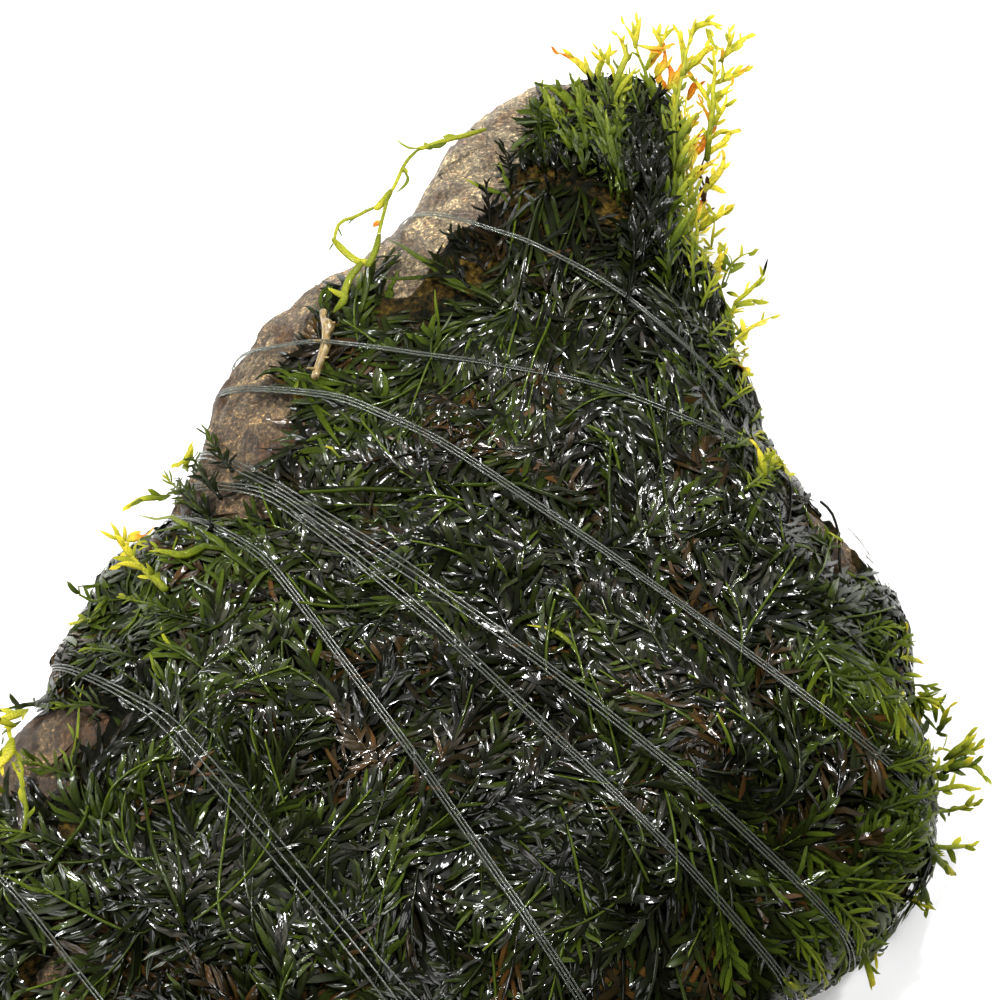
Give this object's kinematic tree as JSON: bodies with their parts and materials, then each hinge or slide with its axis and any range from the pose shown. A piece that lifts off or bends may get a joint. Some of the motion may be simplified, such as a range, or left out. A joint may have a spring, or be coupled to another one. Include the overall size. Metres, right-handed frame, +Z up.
{
  "type": "water feather moss on stone",
  "caption": "Wet feather-like aquarium moss covering a flat lumpy stone, tied down with clear nylon line.",
  "frame": {"origin": "middle of the bounding box in plan, on the ground that the stone's feet stand on", "axes": "+Z up, +Y from the viewer's edge of the picture towards the narrow tip, +X to the right"},
  "size_m": [0.1192, 0.141, 0.0285],
  "materials": {
    "wet_rock": "satin",
    "wet_moss": "gloss",
    "fresh_shoots": "gloss",
    "old_stem_skin": "satin",
    "nylon_line": "gloss"
  },
  "bodies": {
    "root": {"stone": "wet_rock", "moss_mat": "wet_moss", "old_stem": "old_stem_skin", "stray_runner": "fresh_shoots", "stray_runner_fork": "fresh_shoots", "tie_line": "nylon_line", "tip_shoot_1": "fresh_shoots", "tip_shoot_2": "fresh_shoots", "tip_shoot_3": "fresh_shoots", "tip_shoot_4": "fresh_shoots", "tip_shoot_5": "fresh_shoots", "tip_shoot_6": "fresh_shoots", "tip_shoot_7": "fresh_shoots", "tip_shoot_8": "fresh_shoots", "tip_shoot_9": "fresh_shoots", "tip_shoot_10": "fresh_shoots", "neck_shoot_1": "fresh_shoots", "neck_shoot_2": "fresh_shoots", "neck_shoot_3": "fresh_shoots", "neck_shoot_4": "fresh_shoots", "side_shoot_1": "fresh_shoots", "side_shoot_2": "fresh_shoots", "side_shoot_3": "fresh_shoots", "side_shoot_4": "fresh_shoots", "side_shoot_5": "fresh_shoots", "side_shoot_6": "fresh_shoots", "side_shoot_7": "fresh_shoots", "side_shoot_8": "fresh_shoots", "left_shoot_1": "fresh_shoots", "left_shoot_2": "fresh_shoots", "left_shoot_3": "fresh_shoots", "left_shoot_4": "fresh_shoots", "left_shoot_5": "fresh_shoots", "left_shoot_6": "fresh_shoots", "left_shoot_7": "fresh_shoots", "corner_shoot_1": "fresh_shoots", "corner_shoot_2": "fresh_shoots", "corner_shoot_3": "fresh_shoots", "front_shoot_1": "fresh_shoots", "front_shoot_2": "fresh_shoots", "front_shoot_3": "fresh_shoots", "front_shoot_4": "fresh_shoots", "front_shoot_5": "fresh_shoots"}
  },
  "joints": []
}
